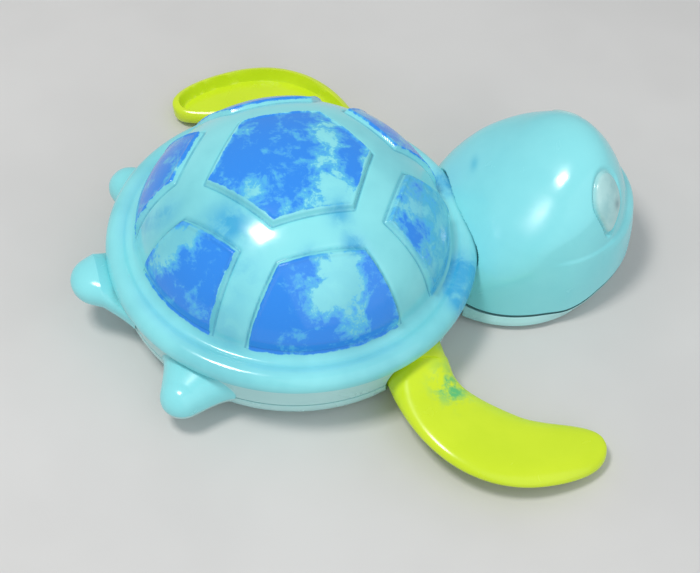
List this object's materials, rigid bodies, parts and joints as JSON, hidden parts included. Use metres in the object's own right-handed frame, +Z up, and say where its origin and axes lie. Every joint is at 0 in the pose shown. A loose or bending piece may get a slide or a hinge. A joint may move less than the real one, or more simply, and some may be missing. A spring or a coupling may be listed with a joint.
{
  "type": "wind-up swimming turtle bath toy",
  "caption": "Wind-up swimming turtle bath toy: domed shell with raised plates, round head, rear legs and tail, and crescent flippers that turn on one cross axle driven by clockwork.",
  "frame": {"origin": "on the ground under the middle of the round shell, on the flat belly", "axes": "+X to the head, +Y to the turtle's left, +Z up"},
  "size_m": [0.146, 0.1496, 0.0498],
  "materials": {
    "shell_aqua": "glossy moulded plastic with worn blue paint on the plates",
    "body_aqua": "glossy moulded plastic",
    "pale_aqua": "glossy moulded plastic",
    "flipper_lime": "glossy moulded plastic",
    "steel": "drawn steel",
    "screw_steel": "zinc plated steel",
    "gear_white": "natural acetal",
    "case_grey": "moulded plastic",
    "spring_steel": "blued spring steel",
    "seal_rubber": "moulded rubber"
  },
  "bodies": {
    "body": {"carapace": "shell_aqua", "upper_body": "body_aqua", "lower_body": "pale_aqua", "head_shell": "body_aqua", "jaw": "pale_aqua", "right_axle_seal": "seal_rubber", "left_axle_seal": "seal_rubber", "gearbox_case": "case_grey", "gearbox_cover": "case_grey", "gearbox_screws": "screw_steel", "mount_screws": "screw_steel", "mainspring": "spring_steel", "spring_post": "steel", "idler_pin": "steel", "fly_pin": "steel", "body_screws": "screw_steel", "jaw_screws": "screw_steel"},
    "flippers": {"right_flipper": "flipper_lime", "left_flipper": "flipper_lime", "flipper_axle": "steel", "axle_pinion": "gear_white", "right_spacer": "gear_white", "left_spacer": "gear_white"},
    "spring_drive": {"spring_arbor": "steel", "drive_gear": "gear_white"},
    "idler": {"governor_idler": "gear_white"},
    "fly": {"governor_fly": "gear_white"}
  },
  "joints": [
    {"name": "flipper_spin", "type": "hinge", "parent": "body", "child": "flippers", "pos_m": [0.022, 0, 0.0082], "axis": [0, 1, 0], "continuous": true},
    {"name": "arbor_spin", "type": "hinge", "parent": "body", "child": "spring_drive", "pos_m": [0.0105, 0, 0.01687], "axis": [0, 1, 0], "continuous": true, "deforming": ["mainspring"]},
    {"name": "idler_spin", "type": "hinge", "parent": "body", "child": "idler", "pos_m": [-0.00145, 0, 0.02377], "axis": [0, 1, 0], "continuous": true},
    {"name": "fly_spin", "type": "hinge", "parent": "body", "child": "fly", "pos_m": [-0.01184, 0, 0.01777], "axis": [0, 1, 0], "continuous": true}
  ],
  "couplings": [
    {"joint": "arbor_spin", "follows": "flipper_spin", "ratio": -0.33333},
    {"joint": "idler_spin", "follows": "flipper_spin", "ratio": 1.2},
    {"joint": "fly_spin", "follows": "flipper_spin", "ratio": -3.6}
  ]
}
